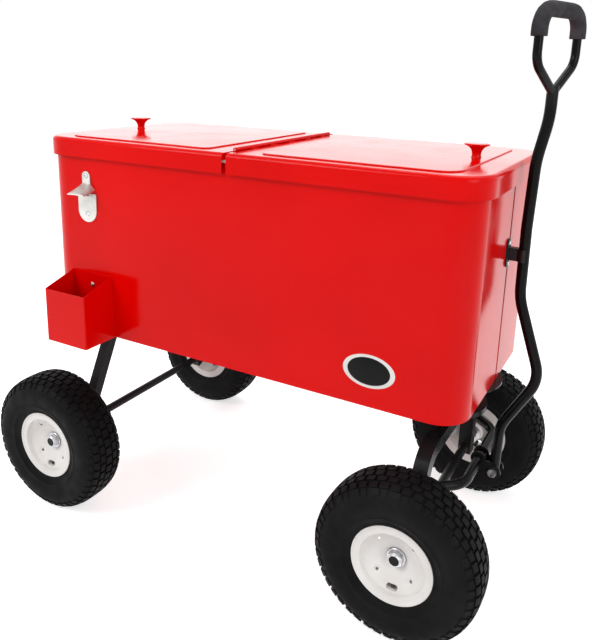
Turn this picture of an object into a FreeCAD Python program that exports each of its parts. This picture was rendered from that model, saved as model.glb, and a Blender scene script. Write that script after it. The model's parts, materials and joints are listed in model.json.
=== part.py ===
"""Patio cooler on wheels, in millimetres.

X runs along the box, with the pull handle at +X; Y runs across it, with the bottle opener at -Y;
Z is up and the ground is Z = 0. The box's plan centre is X = Y = 0.
"""
import FreeCAD, Part
import math
import os
import re
import Sketcher

# Driving dimensions: name, millimetres (or degrees) and meaning.
SIZES = (
    ("box_length", 804, "outside length of the steel box"),
    ("box_width", 386, "outside width of the steel box"),
    ("box_base", 337, "underside of the box above the ground"),
    ("shell_top", 684, "top edge of the steel box above the ground"),
    ("box_corner", 50, "radius of the box's upright corners"),
    ("steel_wall", 1.2, "sheet steel of box and lids"),
    ("foam_side", 26, "side insulation"),
    ("foam_base", 30, "floor insulation"),
    ("liner_wall", 2, "plastic liner"),
    ("rim_thick", 4, "rim trim on the box walls"),
    ("divider_width", 40, "bar across the opening under the hinge"),
    ("divider_deep", 12, "depth of that bar below the rim's underside"),
    ("lid_overhang", 7, "lid skirt beyond the box"),
    ("lid_edge", 667, "lower edge of the lid skirt"),
    ("lid_top", 700, "top face of the lids"),
    ("lid_round", 8, "rounding of the lid's top edges"),
    ("lid_gap", 4, "lid end to the hinge's centre plane"),
    ("lid_near_corner", 3, "lid's upright corners at the hinge"),
    ("panel_inset", 45, "raised panel inside the lid's edge, at the outer end and the hinge"),
    ("panel_side_inset", 25, "raised panel inside the lid's edge, front and rear"),
    ("panel_rise", 2, "height of the raised panel"),
    ("panel_corner", 15, "raised panel's corners at the hinge"),
    ("gasket_thick", 2.2, "lid gasket"),
    ("gasket_gap", 0.3, "gasket clear of the rim"),
    ("gasket_width", 12, "gasket's breadth"),
    ("pan_thick", 2, "lid's inner cover"),
    ("pan_gap", 0.3, "pan's edge clear of the lid's skirt"),
    ("hinge_axis_rise", 2.5, "hinge axis above the lid top"),
    ("barrel_radius", 3.4, "hinge knuckles"),
    ("hinge_pin_radius", 1.5, "hinge pin"),
    ("knuckle_length", 21, "one hinge knuckle with its gap"),
    ("knuckle_gap", 0.5, "gap between knuckles"),
    ("leaf_inner", 2.8, "hinge leaf to the centre plane"),
    ("leaf_drop", 13.5, "depth of the hinge leaf below the axis"),
    ("web_half", 1, "half thickness of the hinge's centre web"),
    ("knob_inset", 62, "knob inside the box's end, along the lid"),
    ("knob_disc", 20, "knob's top radius"),
    ("knob_neck", 7, "knob's neck radius"),
    ("knob_height", 22, "knob's height"),
    ("screw_radius", 2.5, "small screws"),
    ("screw_head", 5, "small screw heads"),
    ("screw_head_thick", 2.6, "small screw heads' thickness"),
    ("opener_inset", 101, "opener's centre from the box's -X end"),
    ("opener_low", 549, "opener's lower edge"),
    ("opener_high", 643, "opener's upper edge"),
    ("opener_width", 45, "opener's lower plate"),
    ("opener_tab", 20, "opener's upper tab"),
    ("opener_plate", 2, "opener's casting thickness"),
    ("opener_reach", 22, "opener's hood beyond the box"),
    ("opener_screw_high", 634, "upper opener screw"),
    ("opener_screw_low", 565, "lower opener screw"),
    ("catcher_inset", 104, "cap catcher's centre from the box's -X end"),
    ("catcher_width", 96, "cap catcher's width"),
    ("catcher_reach", 71, "cap catcher beyond the box"),
    ("catcher_low", 335, "cap catcher's underside"),
    ("catcher_front", 433, "cap catcher's front edge"),
    ("catcher_back", 454, "cap catcher's back edge"),
    ("catcher_corner", 2.5, "cap catcher's upright corners"),
    ("catcher_screw_high", 431, "cap catcher's screw"),
    ("drain_up", 388, "drain axis above the ground"),
    ("drain_radius", 15, "drain spout's outside radius"),
    ("drain_bore", 10, "drain's bore radius"),
    ("drain_reach", 16, "drain spout beyond the box"),
    ("tyre_radius", 130, "tyre's outside radius, and the axle height"),
    ("tyre_width", 85, "tyre's width"),
    ("flange_radius", 64, "rim flange"),
    ("bead_radius", 51, "rim's bead seat"),
    ("bead_gap", 0.3, "tyre bead clear of its seat"),
    ("rim_wall", 2, "rim's sheet"),
    ("disc_outer", 21, "rim disc at the bead seat, beyond the wheel's centre plane"),
    ("disc_inner", 6, "rim disc at the hub, beyond the wheel's centre plane"),
    ("disc_bore", 13, "hole in the rim disc"),
    ("hub_radius", 19, "wheel hub"),
    ("hub_out", 10, "hub's outer end beyond the wheel's centre plane"),
    ("hub_in", 28, "hub's inner end beyond the wheel's centre plane"),
    ("axle_radius", 8, "both axles"),
    ("running_gap", 0.05, "radial clearance of a running fit"),
    ("end_gap", 0.3, "clearance along an axis between moving faces"),
    ("nut_radius", 13, "axle nut across its corners, halved"),
    ("nut_thick", 7, "axle nut"),
    ("washer_thick", 2, "axle washer"),
    ("washer_radius", 15, "axle washer"),
    ("rear_axle_inset", 57, "rear axle from the box's -X end"),
    ("rear_track", 254, "rear wheel planes from the centre"),
    ("rear_tube", 20, "rear frame's square tube"),
    ("tube_wall", 2, "wall of the frame tubes"),
    ("rear_foot", 184, "rear leg at the axle, from the centre"),
    ("rear_crown", 87, "rear leg at the box, from the centre"),
    ("rear_bend", 30, "rear frame's bends"),
    ("rear_bolt_out", 50, "rear frame's bolts from the centre"),
    ("frame_bolt", 3, "frame bolts' radius"),
    ("frame_bolt_head", 5.5, "frame bolts' head radius"),
    ("frame_bolt_up", 8, "frame bolts' reach into the floor"),
    ("front_axle_inset", 68, "front axle and king pin from the box's +X end"),
    ("front_track", 221, "front wheel planes from the centre"),
    ("arch_tube", 24, "front arch's square tube"),
    ("arch_foot", 142, "front arch's legs from the centre"),
    ("arch_crown", 247, "front arch's top run above the ground"),
    ("arch_bend", 48, "front arch's bends"),
    ("foot_drop", 14, "leg end below the axle"),
    ("saddle_half", 30, "half the saddle block on the arch"),
    ("turntable_radius", 60, "turntable discs"),
    ("turntable_thick", 4, "turntable discs' thickness"),
    ("turntable_gap", 0.4, "grease gap of the turntable"),
    ("turntable_low", 281, "lower face of the lower disc"),
    ("drum_radius", 44, "pedestal drum"),
    ("drum_wall", 3, "pedestal drum's wall"),
    ("pedestal_flange", 80, "pedestal flange"),
    ("pedestal_bolt_circle", 62, "pedestal bolts from the king pin"),
    ("hoop_radius", 8, "drawbar hoop's tube"),
    ("hoop_inset", 10, "hoop's front run inside the box's end"),
    ("hoop_half", 98, "hoop's front corners from the centre"),
    ("hoop_end", 136, "hoop's ends from the centre"),
    ("hoop_up", 197, "hoop above the ground"),
    ("hoop_bend", 45, "hoop's bends"),
    ("pivot_out", 15, "handle pivot beyond the box's +X end"),
    ("pivot_up", 180, "handle pivot above the ground"),
    ("ear_half", 9.2, "clevis ear's inner face from the centre"),
    ("ear_thick", 3, "clevis ears"),
    ("ear_round", 13, "clevis ear's rounded end"),
    ("pivot_bolt", 4, "pivot bolt"),
    ("pull_radius", 8.5, "pull tube"),
    ("pull_end", 9, "pull tube beyond the pivot"),
    ("bulge_out", 69.84, "corner of the pull tube's outward bend beyond the box's end"),
    ("bulge_up", 358, "that corner above the ground"),
    ("pull_top_out", 40, "pull tube's top beyond the box's end"),
    ("pull_top", 815, "pull tube's top above the ground"),
    ("pull_knee_up", 262, "pull tube's first bend above the ground"),
    ("pull_waist_up", 488, "pull tube's bend below the clip"),
    ("pull_neck_up", 705, "pull tube's bend above the clip"),
    ("knee_bend", 70, "radius of the first bend"),
    ("bulge_bend", 60, "radius of the outward bend"),
    ("waist_bend", 110, "radius of the bend below the clip"),
    ("neck_bend", 200, "radius of the bends at and above the clip"),
    ("loop_radius", 6.5, "grip loop's tube"),
    ("loop_half", 57.5, "grip loop's arms from the tube"),
    ("loop_crown", 920, "grip loop's top run"),
    ("loop_fork", 806, "grip loop's ends"),
    ("loop_shoulder", 846, "grip loop's lower corners"),
    ("loop_twist", -17.5, "turn of the loop about the tube, in degrees"),
    ("foam_radius", 11.5, "foam grip"),
    ("foam_gap", 0.15, "foam clear of the tube"),
    ("foam_low", 882, "foam grip's lower ends"),
    ("clip_up", 557, "handle clip above the ground"),
    ("clip_tube_out", 25, "pull tube at the clip beyond the box's end"),
    ("clip_wall", 2, "spring clip's strip"),
    ("clip_tall", 20, "spring clip's height"),
    ("plate_thick", 2.5, "clip's base plate"),
    ("plate_half", 12, "half the plate's width"),
    ("plate_tall", 46, "plate's height"),
)
NUMBERS = {name: value for name, value, meaning in SIZES}

doc = FreeCAD.newDocument("patio_cooler")
sheet = doc.addObject("Spreadsheet::Sheet", "dims")
for row, (alias, value, meaning) in enumerate(SIZES, start=1):
    sheet.set("A%d" % row, alias)
    sheet.set("B%d" % row, str(value))
    sheet.set("C%d" % row, meaning)
    sheet.setAlias("B%d" % row, alias)
doc.recompute()

WORD = re.compile(r"[a-z_]+")
AXES = {
    "X": FreeCAD.Vector(1, 0, 0),
    "-X": FreeCAD.Vector(-1, 0, 0),
    "Y": FreeCAD.Vector(0, 1, 0),
    "-Y": FreeCAD.Vector(0, -1, 0),
    "Z": FreeCAD.Vector(0, 0, 1),
    "-Z": FreeCAD.Vector(0, 0, -1),
}
HALF_TURN = FreeCAD.Rotation(AXES["Z"], 180)

# Places along the box that follow its ends.
OPENER_X = "(opener_inset - box_length / 2)"
CATCHER_X = "(catcher_inset - box_length / 2)"
REAR_AXLE_X = "(rear_axle_inset - box_length / 2)"
FRONT_AXLE_X = "(box_length / 2 - front_axle_inset)"
HOOP_FRONT = "(box_length / 2 - hoop_inset)"
KNOB_X = "(box_length / 2 - knob_inset)"
PIVOT_X = "(box_length / 2 + pivot_out)"
BULGE_X = "(box_length / 2 + bulge_out)"
CLIP_TUBE_X = "(box_length / 2 + clip_tube_out)"
PULL_TOP_X = "(box_length / 2 + pull_top_out)"
nodes = []


# ---- shared helpers -------------------------------------------------------------------------

def formula(text):
    """The text with every sheet alias written as the expression engine wants it."""
    return WORD.sub(lambda m: "dims." + m.group(0) if m.group(0) in NUMBERS else m.group(0), str(text))


def number(text):
    """The present value of a formula."""
    return float(sheet.evalExpression(formula(text)))


def bind(item, prop, text):
    item.setExpression(prop, formula(text))


def place(item, at, along=None):
    """Turn an item so that its own Z points along an axis, and bind its place to formulas."""
    if along:
        item.Placement = FreeCAD.Placement(FreeCAD.Vector(), FreeCAD.Rotation(AXES["Z"], AXES[along]))
    for letter, text in zip("xyz", at):
        bind(item, "Placement.Base." + letter, text)


def block(low, high):
    piece = doc.addObject("Part::Box", "block")
    for side, start, end in zip(("Length", "Width", "Height"), low, high):
        bind(piece, side, "(%s) - (%s)" % (end, start))
    place(piece, low)
    return piece


def rod(radius, length, at, along):
    piece = doc.addObject("Part::Cylinder", "rod")
    bind(piece, "Radius", radius)
    bind(piece, "Height", length)
    place(piece, at, along)
    return piece


def hexagon(radius, length, at, along):
    piece = doc.addObject("Part::Prism", "hexagon")
    piece.Polygon = 6
    bind(piece, "Circumradius", radius)
    bind(piece, "Height", length)
    place(piece, at, along)
    return piece


def fuse(pieces):
    joined = doc.addObject("Part::MultiFuse", "joined")
    joined.Shapes = pieces
    joined.Refine = True
    return joined


def cut(base, tools):
    """A base with tools taken away; tools may lie apart from each other."""
    tool = tools[0]
    if len(tools) > 1:
        tool = doc.addObject("Part::MultiFuse", "tools")
        tool.Shapes = tools
    result = doc.addObject("Part::Cut", "cut")
    result.Base = base
    result.Tool = tool
    return result


def group(pieces):
    """Separate solids kept as one node."""
    result = doc.addObject("Part::Compound", "group")
    result.Links = pieces
    return result


def node(label, item):
    item.Label = label
    nodes.append(item)
    return item


def new_body(name):
    return doc.addObject("PartDesign::Body", name)


def new_sketch(body, plane, level="0"):
    """A sketch on one of the body's own planes, raised along the plane's normal."""
    sketch = body.newObject("Sketcher::SketchObject", "sketch")
    origin = body.Origin.OriginFeatures
    sketch.AttachmentSupport = [(next(item for item in origin if item.Role == plane), "")]
    sketch.MapMode = "FlatFace"
    bind(sketch, "AttachmentOffset.Base.z", level)
    return sketch


def fix_point(sketch, geometry, end, x, y):
    """Hold one sketch point at two formulas."""
    for kind, axis, text in (("DistanceX", -2, x), ("DistanceY", -1, y)):
        if text == "0":
            sketch.addConstraint(Sketcher.Constraint("PointOnObject", geometry, end, axis))
            continue
        index = sketch.addConstraint(
            Sketcher.Constraint(kind, -1, 1, geometry, end, number(text)))
        name = "fix%d" % index
        sketch.renameConstraint(index, name)
        bind(sketch, "Constraints." + name, text)


def fix_radius(sketch, geometry, text):
    index = sketch.addConstraint(Sketcher.Constraint("Radius", geometry, number(text)))
    name = "fix%d" % index
    sketch.renameConstraint(index, name)
    bind(sketch, "Constraints." + name, text)


def draw_polygon(sketch, points):
    """A closed outline whose corners are pairs of formulas."""
    corners = [FreeCAD.Vector(number(x), number(y), 0) for x, y in points]
    lines = [Part.LineSegment(a, b) for a, b in zip(corners, corners[1:] + corners[:1])]
    sketch.addGeometry(lines, False)
    count = len(points)
    joints = [Sketcher.Constraint("Coincident", i, 2, (i + 1) % count, 1) for i in range(count)]
    sketch.addConstraint(joints)
    for index, (x, y) in enumerate(points):
        fix_point(sketch, index, 1, x, y)


def draw_circle(sketch, x, y, radius):
    centre = FreeCAD.Vector(number(x), number(y), 0)
    index = sketch.addGeometry(Part.Circle(centre, AXES["Z"], number(radius)), False)
    fix_point(sketch, index, 3, x, y)
    fix_radius(sketch, index, radius)


def bend_ends(before, corner, after, radius):
    """Tangent points and centre of an arc that rounds one corner of a route."""
    back = (before - corner).normalize()
    ahead = (after - corner).normalize()
    half = back.getAngle(ahead) / 2
    reach = radius / math.tan(half)
    middle = (back + ahead).normalize()
    return corner + back * reach, corner + ahead * reach, corner + middle * (radius / math.sin(half))


def draw_route(sketch, points, bends):
    """An open path of straight runs with a tangent arc at every inner corner."""
    corners = [FreeCAD.Vector(number(x), number(y), 0) for x, y in points]
    radii = [number(text) for text in bends]
    arcs = [bend_ends(*corners[i:i + 3], radii[i]) for i in range(len(radii))]
    starts = [corners[0]] + [leave for enter, leave, centre in arcs]
    ends = [enter for enter, leave, centre in arcs] + [corners[-1]]
    runs = len(starts)
    for start, end in zip(starts, ends):
        sketch.addGeometry(Part.LineSegment(start, end), False)
    joints = []
    for index, (enter, leave, centre) in enumerate(arcs):
        chord = (enter + leave) * 0.5
        middle = centre + (chord - centre).normalize() * radii[index]
        arc = sketch.addGeometry(Part.Arc(enter, middle, leave), False)
        turn = (enter - corners[index + 1]).cross(leave - corners[index + 1]).z
        first, last = (1, 2) if turn < 0 else (2, 1)
        joints.append(Sketcher.Constraint("Tangent", index, 2, arc, first))
        joints.append(Sketcher.Constraint("Tangent", arc, last, index + 1, 1))
    sketch.addConstraint(joints)
    for index, radius in enumerate(bends):
        fix_radius(sketch, runs + index, radius)
        mark = sketch.addGeometry(Part.Point(corners[index + 1]), True)
        sketch.addConstraint([
            Sketcher.Constraint("PointOnObject", mark, 1, index),
            Sketcher.Constraint("PointOnObject", mark, 1, index + 1),
        ])
        fix_point(sketch, mark, 1, *points[index + 1])
    fix_point(sketch, 0, 1, *points[0])
    fix_point(sketch, runs - 1, 2, *points[-1])


def draw_rounded(sketch, low_x, high_x, half_y, low_corner, high_corner):
    """A rectangle about the X axis, with one corner radius at each end."""
    corners = [(high_x, "-(%s)" % half_y), (high_x, half_y), (low_x, half_y), (low_x, "-(%s)" % half_y)]
    radii = [high_corner, high_corner, low_corner, low_corner]
    spots = [FreeCAD.Vector(number(x), number(y), 0) for x, y in corners]
    arcs = [bend_ends(spots[i - 1], spots[i], spots[(i + 1) % 4], number(radii[i])) for i in range(4)]
    for index in range(4):
        sketch.addGeometry(Part.LineSegment(arcs[index][1], arcs[(index + 1) % 4][0]), False)
    joints = []
    for index, (enter, leave, centre) in enumerate(arcs):
        chord = (enter + leave) * 0.5
        middle = centre + (chord - centre).normalize() * number(radii[index])
        arc = sketch.addGeometry(Part.Arc(enter, middle, leave), False)
        joints.append(Sketcher.Constraint("Tangent", (index - 1) % 4, 2, arc, 1))
        joints.append(Sketcher.Constraint("Tangent", arc, 2, index, 1))
    sketch.addConstraint(joints)
    for index in range(4):
        fix_radius(sketch, 4 + index, radii[index])
        mark = sketch.addGeometry(Part.Point(spots[index]), True)
        sketch.addConstraint([
            Sketcher.Constraint("PointOnObject", mark, 1, index),
            Sketcher.Constraint("PointOnObject", mark, 1, (index - 1) % 4),
        ])
        fix_point(sketch, mark, 1, *corners[index])


def pad(body, sketch, length):
    feature = body.newObject("PartDesign::Pad", "pad")
    feature.Profile = sketch
    bind(feature, "Length", length)
    return feature


def pocket(body, sketch, length, upwards=False):
    feature = body.newObject("PartDesign::Pocket", "pocket")
    feature.Profile = sketch
    feature.Reversed = upwards
    bind(feature, "Length", length)
    return feature


def edges_where(feature, test):
    """Names of a feature's edges that pass a test on their bounding box."""
    doc.recompute()
    return ["Edge%d" % index for index, edge in enumerate(feature.Shape.Edges, start=1)
            if test(edge.BoundBox)]


def fillet(body, feature, radius, test):
    rounding = body.newObject("PartDesign::Fillet", "rounding")
    rounding.Base = (feature, edges_where(feature, test))
    bind(rounding, "Radius", radius)
    return rounding


def turned(points):
    """A body turned about its own Z from an outline of (radius, height) pairs."""
    body = new_body("turned")
    sketch = new_sketch(body, "XZ_Plane")
    draw_polygon(sketch, points)
    feature = body.newObject("PartDesign::Revolution", "revolution")
    feature.Profile = sketch
    feature.ReferenceAxis = (sketch, ["V_Axis"])
    feature.Angle = 360
    return body


def bent_tube(plane, points, bends, draw_section, level="0"):
    """A body swept along a route on one of its planes; draw_section draws on the route's end."""
    body = new_body("tube")
    route = new_sketch(body, plane, level)
    draw_route(route, points, bends)
    doc.recompute()
    section = body.newObject("Sketcher::SketchObject", "section")
    section.AttachmentSupport = [(route, "Edge1")]
    section.MapMode = "NormalToEdge"
    section.MapPathParameter = 0
    draw_section(section)
    doc.recompute()
    pipe = body.newObject("PartDesign::AdditivePipe", "pipe")
    pipe.Profile = section
    pipe.Spine = (route, ["Edge%d" % index for index in range(1, len(bends) * 2 + 2)])
    return body


def round_section(outer, inner):
    def draw(sketch):
        draw_circle(sketch, "0", "0", outer)
        if inner:
            draw_circle(sketch, "0", "0", inner)
    return draw


def square_section(side, wall):
    def draw(sketch):
        outer = "%s / 2" % side
        inner = "%s / 2 - %s" % (side, wall)
        for half in (outer, inner):
            low = "-(%s)" % half
            start = sketch.GeometryCount
            draw_square(sketch, start, low, half)
    return draw


def draw_square(sketch, start, low, high):
    points = [(low, low), (high, low), (high, high), (low, high)]
    corners = [FreeCAD.Vector(number(x), number(y), 0) for x, y in points]
    for a, b in zip(corners, corners[1:] + corners[:1]):
        sketch.addGeometry(Part.LineSegment(a, b), False)
    joints = [Sketcher.Constraint("Coincident", start + i, 2, start + (i + 1) % 4, 1) for i in range(4)]
    sketch.addConstraint(joints)
    for index, (x, y) in enumerate(points):
        fix_point(sketch, start + index, 1, x, y)


# ---- cooler box -----------------------------------------------------------------------------

FOAM_IN = "steel_wall"
LINER_IN = "(steel_wall + foam_side)"
CAVITY_IN = "(steel_wall + foam_side + liner_wall)"
FOAM_BASE = "(box_base + steel_wall)"
LINER_BASE = "(box_base + steel_wall + foam_base)"
CAVITY_BASE = "(box_base + steel_wall + foam_base + liner_wall)"
RIM_TOP = "(shell_top + rim_thick)"
PEDESTAL_BOLTS = [("pedestal_bolt_circle * %d" % x, "pedestal_bolt_circle * %d" % y)
                  for x, y in ((1, 0), (0, 1), (-1, 0), (0, -1))]
REAR_BOLTS = ("-rear_bolt_out", "rear_bolt_out")


def draw_plan(sketch, inset):
    """The box's plan outline, moved inwards by an inset."""
    half_x = "(box_length / 2 - %s)" % inset
    corner = "box_corner - %s" % inset
    draw_rounded(sketch, "-" + half_x, half_x, "(box_width / 2 - %s)" % inset, corner, corner)


def tub(outer_in, inner_in, base, floor, top):
    body = new_body("tub")
    outline = new_sketch(body, "XY_Plane", base)
    draw_plan(outline, outer_in)
    pad(body, outline, "%s - %s" % (top, base))
    hollow = new_sketch(body, "XY_Plane", top)
    draw_plan(hollow, inner_in)
    pocket(body, hollow, "%s - %s" % (top, floor))
    return body


def floor_bolt_holes(top):
    """Clearances for the frame bolts up through the box's floor."""
    holes = [rod("frame_bolt", "%s - box_base + 1" % top,
                 (FRONT_AXLE_X + " + " + x, y, "box_base - 1"), "Z") for x, y in PEDESTAL_BOLTS]
    holes += [rod("frame_bolt", "%s - box_base + 1" % top,
                  (REAR_AXLE_X, y, "box_base - 1"), "Z") for y in REAR_BOLTS]
    return holes


def drain_hole():
    return rod("drain_radius", "foam_side + steel_wall + liner_wall + 20",
               ("-box_length / 2 - 10", "0", "drain_up"), "X")


def wall_screw_hole(x, z, depth):
    """A screw's hole in the front wall, from outside to a depth behind the wall's face."""
    return rod("screw_radius", depth, (x, "-box_width / 2 - 1", z), "Y")


def clip_screw_hole(z, depth):
    return rod("screw_radius", depth, ("box_length / 2 + 1", "0", z), "-X")


CLIP_SCREWS = ("clip_up - 16", "clip_up + 16")
SCREW_DEEP = "12"


def all_screw_holes():
    holes = [wall_screw_hole(OPENER_X, z, SCREW_DEEP) for z in ("opener_screw_low", "opener_screw_high")]
    holes.append(wall_screw_hole(CATCHER_X, "catcher_screw_high", SCREW_DEEP))
    holes += [clip_screw_hole(z, SCREW_DEEP) for z in CLIP_SCREWS]
    return holes


shell = tub("0", "steel_wall", "box_base", FOAM_BASE, "shell_top")
node("outer_shell", cut(shell, floor_bolt_holes(FOAM_BASE) + [drain_hole()] + all_screw_holes()))

foam = tub(FOAM_IN, LINER_IN, FOAM_BASE, LINER_BASE, "shell_top")
foam_holes = floor_bolt_holes("(box_base + frame_bolt_up)") + [drain_hole()] + all_screw_holes()
node("insulation_foam", cut(foam, foam_holes))

liner = tub(LINER_IN, CAVITY_IN, LINER_BASE, CAVITY_BASE, "shell_top")
node("inner_liner", cut(liner, [drain_hole()]))

trim_body = new_body("trim")
trim_outline = new_sketch(trim_body, "XY_Plane", "shell_top")
draw_plan(trim_outline, "0")
pad(trim_body, trim_outline, "rim_thick")
trim_hollow = new_sketch(trim_body, "XY_Plane", RIM_TOP)
draw_plan(trim_hollow, CAVITY_IN)
pocket(trim_body, trim_hollow, "rim_thick")
node("rim_trim", trim_body)

node("centre_divider", block(
    ("-divider_width / 2", "-(box_width / 2 - %s)" % CAVITY_IN, "shell_top - divider_deep"),
    ("divider_width / 2", "box_width / 2 - %s" % CAVITY_IN, RIM_TOP)))

# ---- centre hinge ---------------------------------------------------------------------------

KNUCKLES = 16
HINGE_Z = "(lid_top + hinge_axis_rise)"
HINGE_START = "(-knuckle_length * %d / 2)" % KNUCKLES
HINGE_LENGTH = "(knuckle_length * %d)" % KNUCKLES


def knuckles(first, plate_low, plate_high, tab_low):
    """Every third knuckle, with the tab that joins it to its plate."""
    pieces = []
    for index in range(first, KNUCKLES, 3):
        start = "%s + knuckle_length * %d + knuckle_gap / 2" % (HINGE_START, index)
        end = "%s + knuckle_length * %d - knuckle_gap / 2" % (HINGE_START, index + 1)
        pieces.append(rod("barrel_radius", "knuckle_length - knuckle_gap", ("0", start, HINGE_Z), "Y"))
        pieces.append(block((plate_low, start, tab_low), (plate_high, end, HINGE_Z + " - 1")))
    return pieces


def hinge_part(plate, first, plate_low, plate_high, tab_low, bore):
    joined = fuse([plate] + knuckles(first, plate_low, plate_high, tab_low))
    hole = rod(bore, HINGE_LENGTH + " + 2", ("0", HINGE_START + " - 1", HINGE_Z), "Y")
    return cut(joined, [hole])


web_top = "(%s - barrel_radius - 0.4)" % HINGE_Z
web = block(("-web_half", HINGE_START, RIM_TOP), ("web_half", "-" + HINGE_START, web_top))
node("hinge_spine", hinge_part(web, 0, "-web_half", "web_half", web_top, "hinge_pin_radius"))
node("hinge_pin", rod("hinge_pin_radius", HINGE_LENGTH, ("0", HINGE_START, HINGE_Z), "Y"))

# ---- lids -----------------------------------------------------------------------------------

LID_END = "(box_length / 2 + lid_overhang)"
LID_HALF = "(box_width / 2 + lid_overhang)"
LID_CORNER = "(box_corner + lid_overhang)"
GASKET_BASE = "(%s + gasket_gap)" % RIM_TOP
PAN_BASE = "(%s + gasket_thick)" % GASKET_BASE
CORE_BASE = "(%s + pan_thick)" % PAN_BASE
CORE_TOP = "(lid_top - steel_wall)"
FLANGE_IN = "(lid_gap + steel_wall)"


def draw_lid_plan(sketch, inset, near):
    draw_rounded(sketch, near, "%s - %s" % (LID_END, inset), "%s - %s" % (LID_HALF, inset),
                 "lid_near_corner", "%s - %s" % (LID_CORNER, inset))


def lid_slab(base, top, inset, near):
    body = new_body("lid_slab")
    outline = new_sketch(body, "XY_Plane", base)
    draw_lid_plan(outline, inset, near)
    pad(body, outline, "%s - %s" % (top, base))
    return body


def lid_blank(inset, top, rounding, near):
    """One lid's outer or inner form: rounded all round the top and cut off square at the hinge."""
    body = new_body("lid_blank")
    outline = new_sketch(body, "XY_Plane", "lid_edge")
    half_x = "(%s - %s)" % (LID_END, inset)
    corner = "%s - %s" % (LID_CORNER, inset)
    draw_rounded(outline, "-" + half_x, half_x, "%s - %s" % (LID_HALF, inset), corner, corner)
    blank = pad(body, outline, "%s - lid_edge" % top)
    crest = number(top)
    fillet(body, blank, rounding, lambda box: box.ZMin > crest - 0.01)
    beyond = block(("-%s - 1" % LID_END, "-%s - 1" % LID_HALF, "lid_edge - 1"),
                   (near, LID_HALF + " + 1", "lid_top + 1"))
    return cut(body, [beyond])


def lid_panel():
    """The low raised panel pressed into the lid's top."""
    body = new_body("lid_panel")
    outline = new_sketch(body, "XY_Plane", "lid_top")
    draw_rounded(outline, "lid_gap + panel_inset", LID_END + " - panel_inset",
                 LID_HALF + " - panel_side_inset", "panel_corner", LID_CORNER + " - panel_side_inset")
    raised = pad(body, outline, "panel_rise")
    crest = number("lid_top + panel_rise")
    fillet(body, raised, "panel_rise * 0.9", lambda box: box.ZMin > crest - 0.01)
    return body


def lid_skin():
    """Pressed steel lid for the +X half: skirt on three sides, turned-down flange at the hinge."""
    outer = lid_blank("0", "lid_top", "lid_round", "lid_gap")
    inner = lid_blank("steel_wall", CORE_TOP, "lid_round - steel_wall", FLANGE_IN)
    opening = block(("lid_gap - 1", "-(%s - steel_wall)" % LID_HALF, "lid_edge - 1"),
                    (FLANGE_IN + " + 1", LID_HALF + " - steel_wall", GASKET_BASE))
    hole = rod("screw_radius", "steel_wall + panel_rise + 2", (KNOB_X, "0", CORE_TOP + " - 1"), "Z")
    return cut(fuse([outer, lid_panel()]), [inner, opening, hole])


def lid_core():
    slab = lid_slab(CORE_BASE, CORE_TOP, "(steel_wall + lid_round)", FLANGE_IN)
    pit = rod("screw_head", "12", (KNOB_X, "0", CORE_TOP + " - screw_head_thick"), "Z")
    return cut(slab, [pit])


def lid_gasket():
    """A frame of gasket under the pan, on the box rim and the centre divider."""
    inset = "(lid_overhang + 4)"
    body = lid_slab(GASKET_BASE, PAN_BASE, inset, FLANGE_IN)
    hollow = new_sketch(body, "XY_Plane", PAN_BASE)
    inner = "(lid_overhang + 4 + gasket_width)"
    draw_lid_plan(hollow, inner, FLANGE_IN + " + gasket_width")
    pocket(body, hollow, "gasket_thick")
    return body


def lid_leaf():
    plate_high = "lid_gap"
    leaf = block(("leaf_inner", HINGE_START, HINGE_Z + " - leaf_drop"), (plate_high, "-" + HINGE_START, web_top))
    return hinge_part(leaf, 2, "leaf_inner - 1.2", plate_high, web_top + " - 1",
                      "hinge_pin_radius + running_gap")


def knob():
    """Trumpet-shaped knob standing on the raised panel, bored for its screw."""
    body = turned([
        ("0", "0"),
        ("knob_neck + 1", "0"),
        ("knob_neck", "2"),
        ("knob_neck + 0.6", "knob_height * 0.35"),
        ("knob_neck + 2.6", "knob_height * 0.6"),
        ("knob_neck + 6.5", "knob_height * 0.8"),
        ("knob_disc - 1", "knob_height * 0.9"),
        ("knob_disc", "knob_height - 1.2"),
        ("knob_disc - 1.2", "knob_height"),
        ("0", "knob_height"),
    ])
    place(body, (KNOB_X, "0", "lid_top + panel_rise"))
    hole = rod("screw_radius", "12", (KNOB_X, "0", "lid_top"), "Z")
    return cut(body, [hole])


def knob_screw():
    head = rod("screw_head", "screw_head_thick", (KNOB_X, "0", CORE_TOP + " - screw_head_thick"), "Z")
    shank = rod("screw_radius", "steel_wall + 12", (KNOB_X, "0", CORE_TOP), "Z")
    return fuse([head, shank])


LID_PIECES = (
    ("lid_skin", lid_skin),
    ("lid_core", lid_core),
    ("lid_pan", lambda: lid_slab(PAN_BASE, CORE_BASE, "(steel_wall + pan_gap)", FLANGE_IN)),
    ("lid_gasket", lid_gasket),
    ("hinge_leaf", lid_leaf),
    ("lid_knob", knob),
    ("knob_screw", knob_screw),
)
for side in ("right", "left"):
    for name, make in LID_PIECES:
        piece = node("%s_%s" % (side, name), make())
        if side == "left":
            piece.Placement = FreeCAD.Placement(FreeCAD.Vector(), HALF_TURN)

# ---- front wall fittings --------------------------------------------------------------------

WALL_Y = "(-box_width / 2)"


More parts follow.
